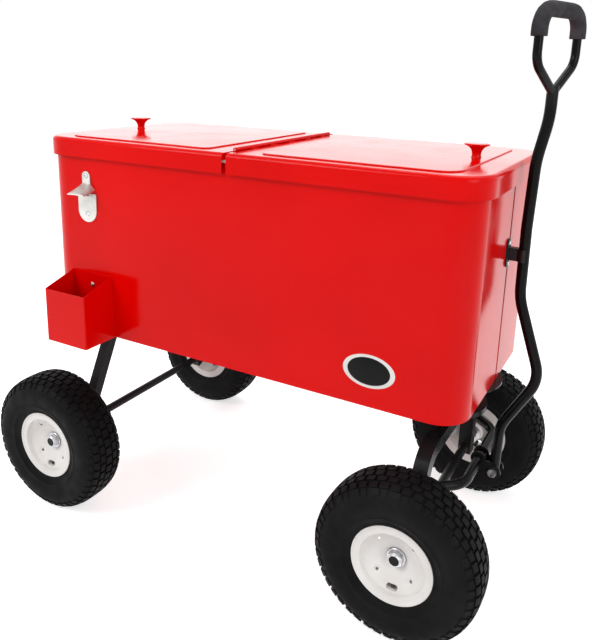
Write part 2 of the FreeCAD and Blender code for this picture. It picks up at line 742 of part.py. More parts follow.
def opener():
    """Cast wall opener: back plate with a rounded foot, upper tab and a hooded lip on two wings."""
    half = "opener_width / 2"
    plate_y = WALL_Y + " - opener_plate"
    foot_up = "(opener_low + %s)" % half
    hood_up = "(opener_high - 42)"
    pieces = [
        rod(half, "opener_plate", (OPENER_X, plate_y, foot_up), "Y"),
        block((OPENER_X + " - " + half, plate_y, foot_up), (OPENER_X + " + " + half, WALL_Y, hood_up)),
        block((OPENER_X + " - opener_tab / 2", plate_y, foot_up),
              (OPENER_X + " + opener_tab / 2", WALL_Y, "opener_high - opener_tab / 2")),
        rod("opener_tab / 2", "opener_plate", (OPENER_X, plate_y, "opener_high - opener_tab / 2"), "Y"),
        block((OPENER_X + " - " + half, WALL_Y + " - opener_reach", hood_up + " - 3"),
              (OPENER_X + " + " + half, WALL_Y, hood_up + " + 1.5")),
    ]
    for low, high in ((OPENER_X + " - " + half, OPENER_X + " - %s + 4" % half),
                      (OPENER_X + " + %s - 4" % half, OPENER_X + " + " + half)):
        pieces.append(block((low, WALL_Y + " - opener_reach + 3", hood_up + " - 14"), (high, WALL_Y, hood_up)))
    holes = [rod("screw_radius", "10", (OPENER_X, WALL_Y + " - 8", z), "Y")
             for z in ("opener_screw_low", "opener_screw_high")]
    return cut(fuse(pieces), holes)


def wall_screw(x, y, z, deep):
    """A pan-head screw whose head bears on a face at y."""
    head = rod("screw_head", "screw_head_thick", (x, y + " - screw_head_thick", z), "Y")
    shank = rod("screw_radius", deep, (x, y, z), "Y")
    return fuse([head, shank])


def catcher():
    """Folded sheet cup with an open, sloping top; its back lies on the box."""
    body = new_body("catcher")
    low_x = CATCHER_X + " - catcher_width / 2"
    high_x = CATCHER_X + " + catcher_width / 2"
    outline = new_sketch(body, "XY_Plane", "catcher_low")
    draw_catcher_plan(outline, "0")
    pad(body, outline, "catcher_back - catcher_low")
    hollow = new_sketch(body, "XY_Plane", "catcher_back")
    draw_catcher_plan(hollow, "steel_wall")
    pocket(body, hollow, "catcher_back - catcher_low - steel_wall")
    drop = number("catcher_back - catcher_front")
    slope = math.degrees(math.atan2(drop, number("catcher_reach")))
    slab = block((low_x + " - 5", "0", "0"), (high_x + " + 5", "catcher_reach * 2", "catcher_back"))
    slab.Placement.Rotation = FreeCAD.Rotation(AXES["X"], slope)
    for letter, text in zip("xyz", (low_x + " - 5", WALL_Y + " - catcher_reach", "catcher_front")):
        bind(slab, "Placement.Base." + letter, text)
    hole = rod("screw_radius", "10", (CATCHER_X, WALL_Y + " - 5", "catcher_screw_high"), "Y")
    return cut(body, [slab, hole])


def draw_catcher_plan(sketch, inset):
    """Plan of the cup with its round corners on the outer side only."""
    left = CATCHER_X + " - catcher_width / 2 + " + inset
    right = CATCHER_X + " + catcher_width / 2 - " + inset
    back = WALL_Y + " - " + inset
    front = WALL_Y + " - catcher_reach + " + inset
    corner = "catcher_corner - " + inset
    points = [(right, back), (left, back), (left, front), (right, front)]
    spots = [FreeCAD.Vector(number(x), number(y), 0) for x, y in points]
    rounded = [bend_ends(spots[1], spots[2], spots[3], number(corner)),
               bend_ends(spots[2], spots[3], spots[0], number(corner))]
    lines = [(spots[0], spots[1]), (spots[1], rounded[0][0]), (rounded[0][1], rounded[1][0]),
             (rounded[1][1], spots[0])]
    sketch.addGeometry([Part.LineSegment(a, b) for a, b in lines], False)
    for enter, leave, centre in rounded:
        chord = (enter + leave) * 0.5
        middle = centre + (chord - centre).normalize() * number(corner)
        sketch.addGeometry(Part.Arc(enter, middle, leave), False)
    sketch.addConstraint([
        Sketcher.Constraint("Coincident", 0, 2, 1, 1),
        Sketcher.Constraint("Tangent", 1, 2, 4, 1),
        Sketcher.Constraint("Tangent", 4, 2, 2, 1),
        Sketcher.Constraint("Tangent", 2, 2, 5, 1),
        Sketcher.Constraint("Tangent", 5, 2, 3, 1),
        Sketcher.Constraint("Coincident", 3, 2, 0, 1),
    ])
    fix_point(sketch, 0, 1, *points[0])
    fix_point(sketch, 0, 2, *points[1])
    for index, first in ((4, 1), (5, 2)):
        fix_radius(sketch, index, corner)
        mark = sketch.addGeometry(Part.Point(spots[index - 2]), True)
        sketch.addConstraint([
            Sketcher.Constraint("PointOnObject", mark, 1, first),
            Sketcher.Constraint("PointOnObject", mark, 1, first + 1),
        ])
        fix_point(sketch, mark, 1, *points[index - 2])


node("bottle_opener", opener())
node("opener_screws", group([
    wall_screw(OPENER_X, WALL_Y + " - opener_plate", z, "opener_plate + 9")
    for z in ("opener_screw_low", "opener_screw_high")]))
node("cap_catcher", catcher())
node("catcher_screw", wall_screw(CATCHER_X, WALL_Y + " - steel_wall", "catcher_screw_high", "steel_wall + 9"))

# ---- handle clip on the +X end --------------------------------------------------------------

END_X = "(box_length / 2)"
PLATE_X = "(box_length / 2 + plate_thick)"
plate_end = "(plate_tall / 2 - plate_half)"
plate_parts = [
    block((END_X, "-plate_half", "clip_up - " + plate_end), (PLATE_X, "plate_half", "clip_up + " + plate_end)),
    rod("plate_half", "plate_thick", (END_X, "0", "clip_up - " + plate_end), "X"),
    rod("plate_half", "plate_thick", (END_X, "0", "clip_up + " + plate_end), "X"),
]
plate_holes = [rod("screw_radius", "10", (END_X + " - 5", "0", z), "X") for z in CLIP_SCREWS]
node("clip_plate", cut(fuse(plate_parts), plate_holes))
node("clip_screws", group([
    fuse([rod("screw_head - 0.6", "screw_head_thick", (PLATE_X, "0", z), "X"),
          rod("screw_radius", "plate_thick + 9", (PLATE_X, "0", z), "-X")]) for z in CLIP_SCREWS]))

clip_inner = "(pull_radius + 0.3)"
clip_outer = "(pull_radius + 0.3 + clip_wall)"
clip_low = "clip_up - clip_tall / 2"
clip_high = "clip_up + clip_tall / 2"
clip_ring = fuse([
    rod(clip_outer, "clip_tall", (CLIP_TUBE_X, "0", clip_low), "Z"),
    block((PLATE_X, "-6", clip_low), (CLIP_TUBE_X + " - pull_radius", "6", clip_high)),
])
clip_mouth = block(
    (CLIP_TUBE_X + " + 4", "-20", clip_low + " - 1"), (CLIP_TUBE_X + " + 20", "20", clip_high + " + 1"))
clip_hollow = rod(clip_inner, "clip_tall + 2", (CLIP_TUBE_X, "0", clip_low + " - 1"), "Z")
node("spring_clip", cut(clip_ring, [clip_mouth, clip_hollow]))

# ---- drain ----------------------------------------------------------------------------------

spout_start = "(-box_length / 2 - drain_reach)"
spout_end = "(-box_length / 2 + %s + 5)" % CAVITY_IN
spout_flange = "(-box_length / 2 - 3)"
node("drain_spout", cut(
    fuse([
        rod("drain_radius", "%s - %s" % (spout_end, spout_start), (spout_start, "0", "drain_up"), "X"),
        rod("drain_radius + 7", "3", (spout_flange, "0", "drain_up"), "X"),
    ]),
    [rod("drain_bore", "%s - %s + 2" % (spout_end, spout_start), (spout_start + " - 1", "0", "drain_up"), "X")]))
node("drain_bung", fuse([
    rod("drain_radius - 0.5", "5", (spout_start + " - 5 - end_gap", "0", "drain_up"), "X"),
    rod("drain_bore - running_gap", "12 + end_gap", (spout_start + " - end_gap", "0", "drain_up"), "X"),
]))

# ---- wheels and axles -----------------------------------------------------------------------


def tyre():
    half = "tyre_width / 2"
    side = [
        ("bead_radius + bead_gap", "tyre_width * 0.28"),
        ("bead_radius + bead_gap", "tyre_width * 0.38"),
        ("flange_radius + 0.5", "tyre_width * 0.38"),
        ("tyre_radius - 48", "tyre_width * 0.47"),
        ("tyre_radius - 28", half),
        ("tyre_radius - 12", "tyre_width * 0.45"),
        ("tyre_radius - 3", "tyre_width * 0.35"),
        ("tyre_radius", "tyre_width * 0.2"),
    ]
    inside = [
        ("tyre_radius - 10", "tyre_width * 0.16"),
        ("tyre_radius - 13", "tyre_width * 0.3"),
        ("tyre_radius - 28", "tyre_width * 0.4"),
        ("tyre_radius - 48", "tyre_width * 0.37"),
        ("flange_radius + 0.5", "tyre_width * 0.28"),
    ]
    other = [(r, "-(%s)" % z) for r, z in reversed(side)]
    return turned(side + other + [(r, "-(%s)" % z) for r, z in reversed(inside)] + inside)


def rim():
    """Stamped rim: bead seat with two flanges and a dished disc down to the hub."""
    seat = "(tyre_width * 0.38)"
    seat_in = "bead_radius - rim_wall"
    return turned([
        (seat_in, seat + " + rim_wall"),
        ("flange_radius", seat + " + rim_wall"),
        ("flange_radius", seat),
        ("bead_radius", seat),
        ("bead_radius", "-" + seat),
        ("flange_radius", "-" + seat),
        ("flange_radius", "-(%s + rim_wall)" % seat),
        (seat_in, "-(%s + rim_wall)" % seat),
        (seat_in, "disc_outer"),
        ("disc_bore", "disc_inner"),
        ("disc_bore", "disc_inner + rim_wall"),
        (seat_in, "disc_outer + rim_wall"),
    ])


def hub():
    bore = "axle_radius + running_gap"
    return turned([
        (bore, "-hub_in"),
        ("hub_radius - 3", "-hub_in"),
        ("hub_radius", "-hub_in + 3"),
        ("hub_radius", "disc_inner - 1"),
        ("disc_bore - bead_gap", "disc_inner - 1"),
        ("disc_bore - bead_gap", "hub_out"),
        (bore, "hub_out"),
    ])


WHEELS = (
    ("front_near", FRONT_AXLE_X, "-front_track", "-Y"),
    ("front_far", FRONT_AXLE_X, "front_track", "Y"),
    ("rear_near", REAR_AXLE_X, "-rear_track", "-Y"),
    ("rear_far", REAR_AXLE_X, "rear_track", "Y"),
)
for name, x, y, outward in WHEELS:
    for kind, make in (("tyre", tyre), ("rim", rim), ("hub", hub)):
        piece = node("%s_%s" % (name, kind), make())
        place(piece, (x, y, "tyre_radius"), outward)


def axle_nuts(x, track):
    """Washers either side of each hub, and the nut outside."""
    pieces = []
    for sign, outward in ((-1, "-Y"), (1, "Y")):
        outer = "%d * (%s + hub_out + end_gap)" % (sign, track)
        nut = "%d * (%s + hub_out + end_gap + washer_thick)" % (sign, track)
        inner = "%d * (%s - hub_in - end_gap - washer_thick)" % (sign, track)
        solids = [
            rod("washer_radius", "washer_thick", (x, outer, "tyre_radius"), outward),
            hexagon("nut_radius", "nut_thick", (x, nut, "tyre_radius"), outward),
            rod("washer_radius", "washer_thick", (x, inner, "tyre_radius"), outward),
        ]
        for solid in solids:
            hole = rod("axle_radius", "4 * nut_thick + 2 * hub_in",
                       (x, "%d * (%s - 2 * hub_in)" % (sign, track), "tyre_radius"), outward)
            pieces.append(cut(solid, [hole]))
    return group(pieces)


def axle(x, track):
    half = "(%s + hub_out + end_gap + washer_thick + nut_thick + 2)" % track
    return rod("axle_radius", "2 * " + half, (x, "-" + half, "tyre_radius"), "Y")


node("rear_axle", axle(REAR_AXLE_X, "rear_track"))
node("rear_axle_nuts", axle_nuts(REAR_AXLE_X, "rear_track"))
node("front_axle", axle(FRONT_AXLE_X, "front_track"))
node("front_axle_nuts", axle_nuts(FRONT_AXLE_X, "front_track"))

# ---- rear frame -----------------------------------------------------------------------------

rear_level = "(box_base - rear_tube / 2)"
rear_slope = "((rear_foot - rear_crown) / (%s - tyre_radius))" % rear_level
rear_toe = "(rear_foot + foot_drop * %s)" % rear_slope
toe_level = "tyre_radius - foot_drop"
rear_tube = bent_tube(
    "YZ_Plane",
    [("-" + rear_toe, toe_level), ("-rear_crown", rear_level), ("rear_crown", rear_level), (rear_toe, toe_level)],
    ["rear_bend", "rear_bend"], square_section("rear_tube", "tube_wall"), REAR_AXLE_X)
frame_holes = [rod("axle_radius", "2 * rear_track", (REAR_AXLE_X, "-rear_track", "tyre_radius"), "Y")]
frame_holes += [rod("frame_bolt", "rear_tube + 10", (REAR_AXLE_X, y, "box_base - rear_tube - 5"), "Z")
                for y in REAR_BOLTS]
node("rear_frame", cut(rear_tube, frame_holes))
node("rear_frame_bolts", group([
    fuse([hexagon("frame_bolt_head", "4", (REAR_AXLE_X, y, "box_base - rear_tube"), "-Z"),
          rod("frame_bolt", "rear_tube + frame_bolt_up", (REAR_AXLE_X, y, "box_base - rear_tube"), "Z")])
    for y in REAR_BOLTS]))

# ---- front pedestal and turntable -----------------------------------------------------------

upper_low = "(turntable_low + turntable_thick + turntable_gap)"
upper_high = "(turntable_low + 2 * turntable_thick + turntable_gap)"
KING_BORE = "(axle_radius + running_gap)"


def king_rod(radius, low, high):
    return rod(radius, "(%s) - (%s)" % (high, low), (FRONT_AXLE_X, "0", low), "Z")


node("front_pedestal", cut(
    fuse([king_rod("drum_radius", upper_high, "box_base"),
          king_rod("pedestal_flange", "box_base - 3", "box_base")]),
    [king_rod("drum_radius - drum_wall", upper_high + " - 1", "box_base + 1")]
    + [rod("frame_bolt", "10", (FRONT_AXLE_X + " + " + x, y, "box_base - 5"), "Z") for x, y in PEDESTAL_BOLTS]))
node("pedestal_bolts", group([
    fuse([hexagon("frame_bolt_head", "4", (FRONT_AXLE_X + " + " + x, y, "box_base - 3"), "-Z"),
          rod("frame_bolt", "3 + frame_bolt_up", (FRONT_AXLE_X + " + " + x, y, "box_base - 3"), "Z")])
    for x, y in PEDESTAL_BOLTS]))
node("turntable_upper", cut(
    king_rod("turntable_radius", upper_low, upper_high),
    [king_rod("axle_radius", upper_low + " - 1", upper_high + " + 1")]))
arch_top = "(arch_crown + arch_tube / 2)"
arch_base = "(arch_crown - arch_tube / 2)"
node("king_pin", fuse([
    king_rod("axle_radius", arch_base + " - end_gap", upper_high),
    king_rod("nut_radius", arch_base + " - end_gap - 8", arch_base + " - end_gap"),
    king_rod("nut_radius", upper_high, upper_high + " + 8")]))

node("turntable_lower", cut(
    fuse([king_rod("turntable_radius", "turntable_low", "turntable_low + turntable_thick"),
          block((FRONT_AXLE_X + " - arch_tube / 2", "-saddle_half", arch_top),
                (FRONT_AXLE_X + " + arch_tube / 2", "saddle_half", "turntable_low"))]),
    [king_rod(KING_BORE, arch_top + " - 1", "turntable_low + turntable_thick + 1")]))

# ---- front arch, hoop and clevis ------------------------------------------------------------

arch = bent_tube(
    "YZ_Plane",
    [("-arch_foot", toe_level), ("-arch_foot", "arch_crown"), ("arch_foot", "arch_crown"), ("arch_foot", toe_level)],
    ["arch_bend", "arch_bend"], square_section("arch_tube", "tube_wall"), FRONT_AXLE_X)
node("front_arch", cut(arch, [
    rod("axle_radius", "2 * front_track", (FRONT_AXLE_X, "-front_track", "tyre_radius"), "Y"),
    king_rod(KING_BORE, arch_base + " - 1", arch_top + " + 1")]))

hoop_back = "(" + FRONT_AXLE_X + " + arch_tube / 2)"
hoop_slope = "((hoop_end - hoop_half) / (" + HOOP_FRONT + " - %s))" % hoop_back
hoop_start = "(hoop_end + 20 * %s)" % hoop_slope
hoop = bent_tube(
    "XY_Plane",
    [(hoop_back + " - 20", "-" + hoop_start), (HOOP_FRONT, "-hoop_half"), (HOOP_FRONT, "hoop_half"),
     (hoop_back + " - 20", hoop_start)],
    ["hoop_bend", "hoop_bend"], round_section("hoop_radius", "hoop_radius - tube_wall"), "hoop_up")
node("drawbar_hoop", cut(hoop, [
    block((hoop_back + " - 60", "-hoop_end - 60", "hoop_up - 20"), (hoop_back, "hoop_end + 60", "hoop_up + 20"))]))

ear_holes = [
    rod("hoop_radius", "80", (HOOP_FRONT, "-40", "hoop_up"), "Y"),
    rod("pivot_bolt", "80", (PIVOT_X, "-40", "pivot_up"), "Y"),
]


def ear(sign):
    """One welded lug: round the hoop at its root, round the pivot bolt at its tip."""
    inner = "%d * ear_half" % sign
    outward = "Y" if sign > 0 else "-Y"
    tip = rod("ear_round", "ear_thick", (PIVOT_X, inner, "pivot_up"), outward)
    root = rod("ear_round", "ear_thick", (HOOP_FRONT, inner, "hoop_up"), outward)
    near, far = ("-ear_half - ear_thick", "-ear_half") if sign < 0 else ("ear_half", "ear_half + ear_thick")
    web = block((HOOP_FRONT, near, "pivot_up - 2"), (PIVOT_X, far, "hoop_up"))
    return fuse([tip, root, web])


bridge = block((HOOP_FRONT + " + hoop_radius", "-ear_half", "pivot_up + 6"),
               (HOOP_FRONT + " + hoop_radius + 2", "ear_half", "hoop_up + 6"))
node("clevis", cut(fuse([ear(-1), ear(1), bridge]), ear_holes))
bolt_outer = "(ear_half + ear_thick)"
node("clevis_bolt", fuse([
    rod("pivot_bolt", "2 * %s + 8" % bolt_outer, (PIVOT_X, "-" + bolt_outer, "pivot_up"), "Y"),
    rod("pivot_bolt * 1.8", "5.5", (PIVOT_X, "-" + bolt_outer, "pivot_up"), "-Y"),
    hexagon("pivot_bolt * 1.8", "6.5", (PIVOT_X, bolt_outer, "pivot_up"), "Y"),
]))

# ---- pull handle ----------------------------------------------------------------------------

pull = bent_tube(
    "XZ_Plane",
    [(PIVOT_X, "pivot_up - pull_end"), (PIVOT_X + " + 2", "pull_knee_up"), (BULGE_X, "bulge_up"),
     (CLIP_TUBE_X + " + 1", "pull_waist_up"), (CLIP_TUBE_X, "clip_up + 43"),
     (CLIP_TUBE_X + " + 3", "pull_neck_up"), (PULL_TOP_X, "pull_neck_up + 63"), (PULL_TOP_X, "pull_top")],
    ["knee_bend", "bulge_bend", "waist_bend", "neck_bend", "neck_bend", "neck_bend"],
    round_section("pull_radius", "pull_radius - tube_wall"))
node("pull_tube", cut(pull, [
    rod("pivot_bolt + running_gap", "40", (PIVOT_X, "-20", "pivot_up"), "Y")]))

loop_body = bent_tube(
    "YZ_Plane",
    [("0 - 2", "loop_fork"), ("-loop_half", "loop_shoulder"), ("-loop_half", "loop_crown"),
     ("loop_half", "loop_crown"), ("loop_half", "loop_shoulder"), ("0 + 2", "loop_fork")],
    ["30", "38", "38", "30"], round_section("loop_radius", "loop_radius - 1.5"))
foam_body = bent_tube(
    "YZ_Plane",
    [("-loop_half", "foam_low"), ("-loop_half", "loop_crown"), ("loop_half", "loop_crown"),
     ("loop_half", "foam_low")],
    ["37.9", "37.9"], round_section("foam_radius", "loop_radius + foam_gap"))
for body in (loop_body, foam_body):
    place(body, (PULL_TOP_X, "0", "0"))
    bind(body, "Placement.Rotation.Angle", "loop_twist")
node("grip_loop", cut(loop_body, [
    rod("pull_radius", "60", (PULL_TOP_X, "0", "pull_top - 60"), "Z")]))
node("foam_grip", foam_body)

# ---- check and export -----------------------------------------------------------------------

doc.recompute()
bad = [item.Label for item in doc.Objects if {"Invalid", "Error"} & set(item.State)]
for item in nodes:
    if item.Shape.isNull() or not item.Shape.isValid() or not item.Shape.Solids:
        bad.append(item.Label)
if bad:
    raise RuntimeError("failed: " + ", ".join(bad))
if len({item.Label for item in nodes}) != len(nodes):
    raise RuntimeError("two sub-parts share a label")
os.makedirs("parts", exist_ok=True)
for item in nodes:
    item.Shape.exportStep(os.path.join("parts", item.Label + ".step"))
    print(item.Label, len(item.Shape.Solids), round(item.Shape.Volume))
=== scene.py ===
"""Looks of a wheeled patio cooler: enamelled box and lids, black steel frames, treaded tyres,
dished rims, a cast opener, foam grip and small fasteners, on a pale studio floor."""
import bpy
import json
import math
from mathutils import Euler, Matrix, Vector


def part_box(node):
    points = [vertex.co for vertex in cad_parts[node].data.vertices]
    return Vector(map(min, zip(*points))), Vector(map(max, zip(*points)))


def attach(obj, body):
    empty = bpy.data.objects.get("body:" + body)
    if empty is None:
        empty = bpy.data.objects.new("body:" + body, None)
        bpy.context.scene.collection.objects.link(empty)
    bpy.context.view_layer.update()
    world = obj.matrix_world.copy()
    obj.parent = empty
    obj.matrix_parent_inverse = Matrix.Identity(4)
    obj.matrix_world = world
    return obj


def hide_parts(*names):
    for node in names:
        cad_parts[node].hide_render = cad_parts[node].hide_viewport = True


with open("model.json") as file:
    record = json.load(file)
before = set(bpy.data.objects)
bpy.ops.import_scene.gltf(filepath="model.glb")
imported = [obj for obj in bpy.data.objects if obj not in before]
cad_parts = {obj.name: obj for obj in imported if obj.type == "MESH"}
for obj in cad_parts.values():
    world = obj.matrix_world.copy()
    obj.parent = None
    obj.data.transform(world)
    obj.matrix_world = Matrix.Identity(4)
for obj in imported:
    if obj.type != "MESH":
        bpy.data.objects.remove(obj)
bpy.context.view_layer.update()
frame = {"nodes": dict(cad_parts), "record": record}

MM = 0.001
X = Vector((1, 0, 0))
Y = Vector((0, 1, 0))
Z = Vector((0, 0, 1))


# ---- modelling helpers ----------------------------------------------------------------------

def active():
    return bpy.context.view_layer.objects.active


def pick(*objects):
    """Select only these objects; the first is active."""
    bpy.ops.object.select_all(action="DESELECT")
    for item in objects:
        item.select_set(True)
    bpy.context.view_layer.objects.active = objects[0]


def start_edit(piece, mode="FACE"):
    pick(piece)
    bpy.ops.object.mode_set(mode="EDIT")
    bpy.ops.mesh.select_mode(type=mode)
    bpy.ops.mesh.select_all(action="DESELECT")


def end_edit():
    bpy.ops.object.mode_set(mode="OBJECT")


def select_faces(piece, test):
    """Select a mesh's faces by centre and normal, from object mode, and go back to edit mode."""
    bpy.ops.mesh.select_all(action="DESELECT")
    end_edit()
    for face in piece.data.polygons:
        face.select = test(face.center, face.normal)
    bpy.ops.object.mode_set(mode="EDIT")


def settle(piece):
    """Put a piece's place into its mesh."""
    pick(piece)
    bpy.ops.object.transform_apply(location=True, rotation=True, scale=True)


def apply_modifier(piece, kind, **settings):
    pick(piece)
    modifier = piece.modifiers.new(kind.title(), kind)
    for key, value in settings.items():
        setattr(modifier, key, value)
    bpy.ops.object.modifier_apply(modifier=modifier.name)


def smooth(piece, degrees=35):
    pick(piece)
    bpy.ops.object.shade_smooth_by_angle(angle=math.radians(degrees))


def clean(piece):
    """Merge doubled points and turn every face outwards."""
    pick(piece)
    bpy.ops.object.mode_set(mode="EDIT")
    bpy.ops.mesh.select_all(action="SELECT")
    bpy.ops.mesh.remove_doubles(threshold=0.00002)
    bpy.ops.mesh.normals_make_consistent(inside=False)
    end_edit()


def join(name, pieces):
    pick(*pieces)
    bpy.ops.object.join()
    piece = active()
    piece.name = name
    return piece


def copy_piece(piece, name):
    """A copy with a mesh of its own."""
    pick(piece)
    bpy.ops.object.duplicate(linked=False)
    twin = active()
    twin.name = name
    return twin


def across(axis):
    """A direction square to an axis, from which a lathe outline starts."""
    return X if abs(axis.x) < 0.9 else Z


def lathe(name, centre, axis, outline, steps=96):
    """Extrude a point along (radius, height) pairs and spin the line about an axis."""
    side = across(axis)
    spots = [centre + side * (radius * MM) + axis * (height * MM) for radius, height in outline]
    bpy.ops.object.select_all(action="DESELECT")
    bpy.ops.mesh.primitive_plane_add(size=0.001, location=spots[0])
    piece = active()
    piece.name = name
    settle(piece)
    bpy.ops.object.mode_set(mode="EDIT")
    bpy.ops.mesh.select_mode(type="VERT")
    bpy.ops.mesh.select_all(action="SELECT")
    bpy.ops.mesh.merge(type="CENTER")
    for before, after in zip(spots, spots[1:]):
        bpy.ops.mesh.extrude_region_move(TRANSFORM_OT_translate={"value": after - before})
    bpy.ops.mesh.select_all(action="SELECT")
    bpy.ops.mesh.spin(steps=steps, angle=math.tau, center=centre, axis=axis, use_auto_merge=True)
    end_edit()
    clean(piece)
    return piece


def cylinder(name, centre, axis, radius, depth, sides=32):
    """A rod whose middle is at centre, in millimetres across and metres in place."""
    bpy.ops.object.select_all(action="DESELECT")
    turn = Z.rotation_difference(axis).to_euler()
    bpy.ops.mesh.primitive_cylinder_add(vertices=sides, radius=radius * MM, depth=depth * MM,
                                        location=centre, rotation=turn)
    piece = active()
    piece.name = name
    settle(piece)
    return piece


def block(name, low, high):
    bpy.ops.object.select_all(action="DESELECT")
    bpy.ops.mesh.primitive_cube_add(size=1, location=(Vector(low) + Vector(high)) / 2,
                                    scale=Vector(high) - Vector(low))
    piece = active()
    piece.name = name
    settle(piece)
    return piece


def round_edges(piece, width, segments=2, degrees=40):
    apply_modifier(piece, "BEVEL", width=width * MM, segments=segments, limit_method="ANGLE",
                   angle_limit=math.radians(degrees))


def cut_with(piece, tool):
    """Boolean a tool out of a piece and throw the tool away."""
    apply_modifier(piece, "BOOLEAN", operation="DIFFERENCE", solver="EXACT", object=tool)
    bpy.data.objects.remove(tool)



# ---- materials ------------------------------------------------------------------------------

class Finish:
    """A node material with a Principled shader, built up by small steps."""

    def __init__(self, name, color, roughness, metallic=0.0, **sockets):
        self.material = bpy.data.materials.new(name)
        self.material.use_nodes = True
        self.nodes = self.material.node_tree.nodes
        self.links = self.material.node_tree.links
        self.shader = self.nodes["Principled BSDF"]
        self.shader.inputs["Base Color"].default_value = (*color, 1)
        self.shader.inputs["Roughness"].default_value = roughness
        self.shader.inputs["Metallic"].default_value = metallic
        for key, value in sockets.items():
            self.shader.inputs[key.replace("_", " ")].default_value = value
        self.place = self.nodes.new("ShaderNodeTexCoord").outputs["Object"]
        self.height = None

    def noise(self, scale, detail=2.0, roughness=0.5, stretch=None):
        node = self.nodes.new("ShaderNodeTexNoise")
        node.inputs["Scale"].default_value = scale
        node.inputs["Detail"].default_value = detail
        node.inputs["Roughness"].default_value = roughness
        self.links.new(self.stretched(stretch), node.inputs["Vector"])
        return node.outputs["Fac"]

    def stretched(self, stretch):
        if stretch is None:
            return self.place
        node = self.nodes.new("ShaderNodeMapping")
        node.inputs["Scale"].default_value = stretch
        self.links.new(self.place, node.inputs["Vector"])
        return node.outputs["Vector"]

    def cells(self, scale, feature="F1"):
        node = self.nodes.new("ShaderNodeTexVoronoi")
        node.feature = feature
        node.inputs["Scale"].default_value = scale
        self.links.new(self.place, node.inputs["Vector"])
        return node.outputs["Distance"]

    def ramp(self, source, low, high, start=0.3, end=0.7):
        """A colour or grey that goes from low to high as the source goes from start to end."""
        node = self.nodes.new("ShaderNodeValToRGB")
        points = node.color_ramp.elements
        points[0].position, points[1].position = start, end
        points[0].color = (*low, 1) if isinstance(low, tuple) else (low, low, low, 1)
        points[1].color = (*high, 1) if isinstance(high, tuple) else (high, high, high, 1)
        self.links.new(source, node.inputs["Fac"])
        return node.outputs["Color"]

    def color(self, source):
        self.links.new(source, self.shader.inputs["Base Color"])

    def roughness(self, source):
        self.links.new(source, self.shader.inputs["Roughness"])

    def bump(self, source, strength, depth):
        """Add a height pattern; a later one builds on the one before."""
        node = self.nodes.new("ShaderNodeBump")
        node.inputs["Strength"].default_value = strength
        node.inputs["Distance"].default_value = depth * MM
        self.links.new(source, node.inputs["Height"])
        if self.height is not None:
            self.links.new(self.height, node.inputs["Normal"])
        self.height = node.outputs["Normal"]
        self.links.new(self.height, self.shader.inputs["Normal"])

    def wear(self, base, worn, amount=0.5):
        """Mix a worn colour in where the surface is most convex."""
        geometry = self.nodes.new("ShaderNodeNewGeometry")
        edge = self.ramp(geometry.outputs["Pointiness"], 0.0, amount, 0.52, 0.62)
        mix = self.nodes.new("ShaderNodeMix")
        mix.data_type = "RGBA"
        self.links.new(edge, mix.inputs["Factor"])
        self.links.new(base, mix.inputs["A"])
        mix.inputs["B"].default_value = (*worn, 1)
        self.color(mix.outputs["Result"])


def red_enamel():
    finish = Finish("red_enamel", (0.75, 0.001, 0.001), 0.12, Specular_IOR_Level=0.1)
    tone = finish.ramp(finish.noise(3.0, 3), (0.62, 0.0, 0.0), (0.74, 0.001, 0.0))
    finish.color(tone)
    finish.roughness(finish.ramp(finish.noise(14.0, 4), 0.09, 0.17))
    finish.bump(finish.noise(420.0, 1), 0.08, 0.2)
    return finish.material


def black_enamel():
    finish = Finish("black_enamel", (0.002, 0.002, 0.002), 0.2, Specular_IOR_Level=0.1)
    tone = finish.ramp(finish.noise(9.0, 4), (0.002, 0.002, 0.002), (0.006, 0.006, 0.007))
    finish.wear(tone, (0.025, 0.025, 0.027), 0.5)
    finish.roughness(finish.ramp(finish.noise(40.0, 3), 0.15, 0.3))
    finish.bump(finish.noise(700.0, 1), 0.12, 0.2)
    return finish.material


def white_enamel():
    finish = Finish("white_enamel", (0.78, 0.76, 0.73), 0.32, Specular_IOR_Level=0.3)
    tone = finish.ramp(finish.noise(16.0, 4), (0.70, 0.675, 0.65), (0.80, 0.785, 0.765))
    finish.wear(tone, (0.5, 0.49, 0.47), 0.5)
    finish.roughness(finish.ramp(finish.noise(60.0, 3), 0.28, 0.42))
    finish.bump(finish.noise(500.0, 1), 0.15, 0.2)
    return finish.material


def rubber(name, low, high, rough, grain):
    finish = Finish(name, low, rough, Specular_IOR_Level=0.08)
    dust = finish.ramp(finish.noise(11.0, 5, 0.6), low, high, 0.35, 0.75)
    finish.color(dust)
    finish.roughness(finish.ramp(finish.noise(50.0, 3), rough - 0.08, rough + 0.1))
    finish.bump(finish.noise(grain, 3), 0.35, 0.3)
    return finish.material


def foam_rubber():
    finish = Finish("grip_foam", (0.035, 0.033, 0.037), 0.85, Specular_IOR_Level=0.1)
    tone = finish.ramp(finish.noise(35.0, 5, 0.65), (0.022, 0.021, 0.024), (0.062, 0.058, 0.064))
    finish.color(tone)
    finish.bump(finish.cells(900.0), 0.5, 0.5)
    finish.bump(finish.noise(160.0, 3), 0.35, 0.6)
    return finish.material


def chrome():
    finish = Finish("chrome", (0.62, 0.61, 0.58), 0.42, 1.0)
    finish.color(finish.ramp(finish.noise(30.0, 3), (0.52, 0.51, 0.48), (0.72, 0.71, 0.68)))
    finish.roughness(finish.ramp(finish.noise(120.0, 4), 0.36, 0.52))
    finish.bump(finish.noise(260.0, 2), 0.15, 0.2)
    return finish.material


def zinc():
    finish = Finish("zinc", (0.62, 0.62, 0.64), 0.3, 1.0)
    finish.color(finish.ramp(finish.noise(90.0, 4), (0.45, 0.45, 0.47), (0.72, 0.72, 0.74)))
    finish.roughness(finish.ramp(finish.noise(200.0, 4), 0.22, 0.42))
    finish.bump(finish.noise(600.0, 2), 0.2, 0.15)
    return finish.material


